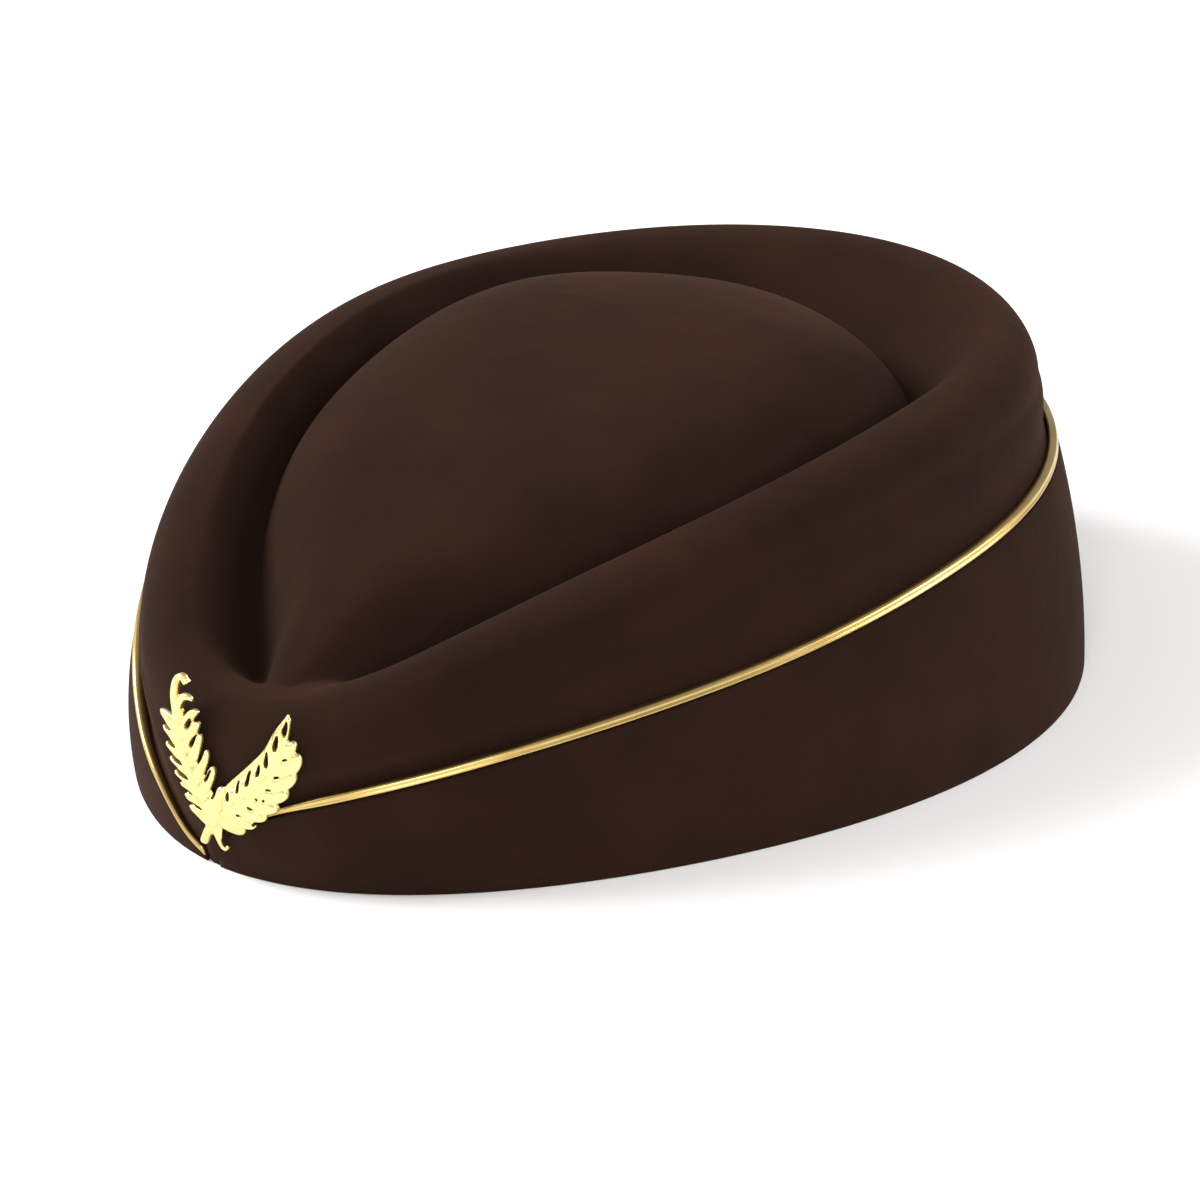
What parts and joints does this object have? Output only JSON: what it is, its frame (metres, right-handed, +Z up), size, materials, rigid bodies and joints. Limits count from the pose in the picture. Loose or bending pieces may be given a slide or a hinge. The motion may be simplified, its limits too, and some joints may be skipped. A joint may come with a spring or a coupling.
{
  "type": "flight attendant hat",
  "caption": "Low felt hat with a rolled rim around a teardrop crown, gold piping on a sloping side band and a wreath badge at the front.",
  "frame": {"origin": "middle of the hat's length and width with the badge, in the plane of the bottom edge", "axes": "+Z up from the surface it rests on, -Y towards the front with the badge, +X towards the wearer's left"},
  "size_m": [0.1688, 0.2132, 0.0682],
  "materials": {
    "felt": "dark brown wool felt, matte",
    "gold_cord": "gold metallic cord",
    "pale_gold": "pale gold plate, satin",
    "brass": "plain brass"
  },
  "bodies": {
    "root": {"felt_body": "felt", "side_band": "felt", "gold_piping": "gold_cord", "wreath_badge": "pale_gold", "badge_clutch": "brass"}
  },
  "joints": []
}
